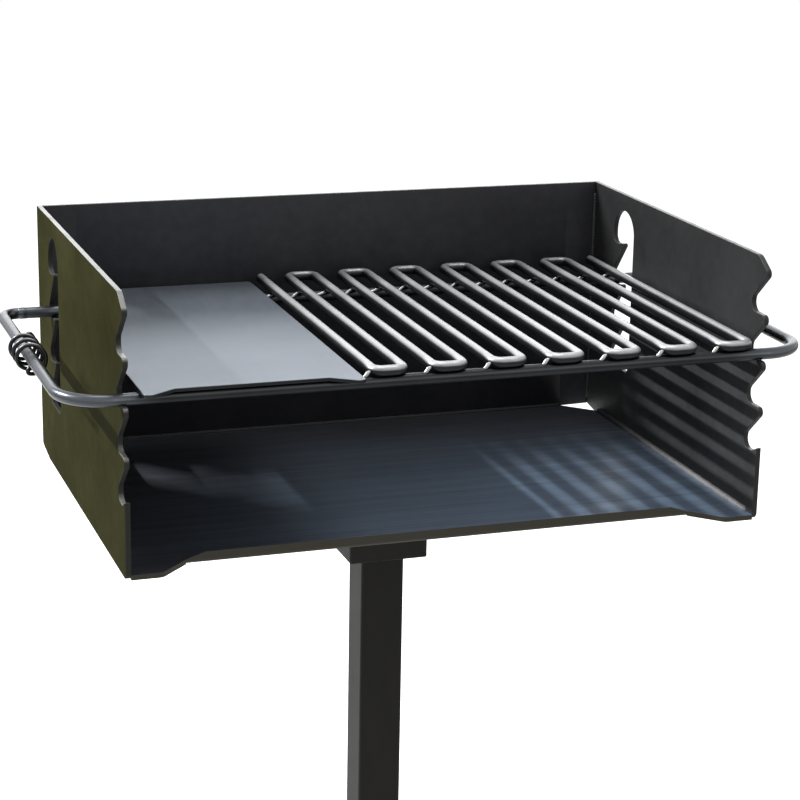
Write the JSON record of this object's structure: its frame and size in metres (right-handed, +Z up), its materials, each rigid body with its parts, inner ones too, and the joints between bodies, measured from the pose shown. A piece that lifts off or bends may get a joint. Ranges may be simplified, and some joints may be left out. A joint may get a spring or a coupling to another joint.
{
  "type": "park charcoal grill",
  "caption": "Open steel firebox on a square post, with a lift-out grate on notched ledges that carries a griddle plate, a serpentine of cooking bars and coiled wire grips.",
  "frame": {"origin": "middle of the open foot of the square post", "axes": "+X to the right across the firebox, +Y from the open front to the back plate, +Z up along the post"},
  "size_m": [0.7361, 0.419, 1.372],
  "materials": {
    "left_side_plate": "heat-resisting black enamel",
    "right_side_plate": "heat-resisting black enamel",
    "back_plate": "heat-resisting black enamel",
    "floor_plate": "heat-resisting black enamel",
    "floor_welds": "painted weld bead",
    "corner_welds": "painted weld bead",
    "socket_sleeve": "black enamel",
    "socket_collars": "black enamel",
    "socket_welds": "painted weld bead",
    "post": "black enamel",
    "socket_bolts": "dull zinc-coated steel",
    "bolt_washers": "dull zinc-coated steel",
    "bolt_nuts": "dull zinc-coated steel",
    "grate_hoop": "painted round bar",
    "rear_rod": "painted round bar",
    "hoop_welds": "painted weld bead",
    "griddle_plate": "satin steel plate",
    "griddle_welds": "painted weld bead",
    "cooking_bars": "satin steel bar",
    "bar_welds": "bright weld bead",
    "left_spring_grip": "spring wire",
    "right_spring_grip": "spring wire"
  },
  "bodies": {
    "firebox": {"left_side_plate": "left_side_plate", "right_side_plate": "right_side_plate", "back_plate": "back_plate", "floor_plate": "floor_plate", "floor_welds": "floor_welds", "corner_welds": "corner_welds", "socket_sleeve": "socket_sleeve", "socket_collars": "socket_collars", "socket_welds": "socket_welds", "post": "post", "socket_bolts": "socket_bolts", "bolt_washers": "bolt_washers", "bolt_nuts": "bolt_nuts"},
    "grate": {"grate_hoop": "grate_hoop", "rear_rod": "rear_rod", "hoop_welds": "hoop_welds", "griddle_plate": "griddle_plate", "griddle_welds": "griddle_welds", "cooking_bars": "cooking_bars", "bar_welds": "bar_welds", "left_spring_grip": "left_spring_grip", "right_spring_grip": "right_spring_grip"}
  },
  "joints": [
    {"name": "grate_unhook", "type": "slide", "parent": "firebox", "child": "grate", "axis": [0, -0.7071, 0.7071], "range_m": [0, 0.042]}
  ]
}
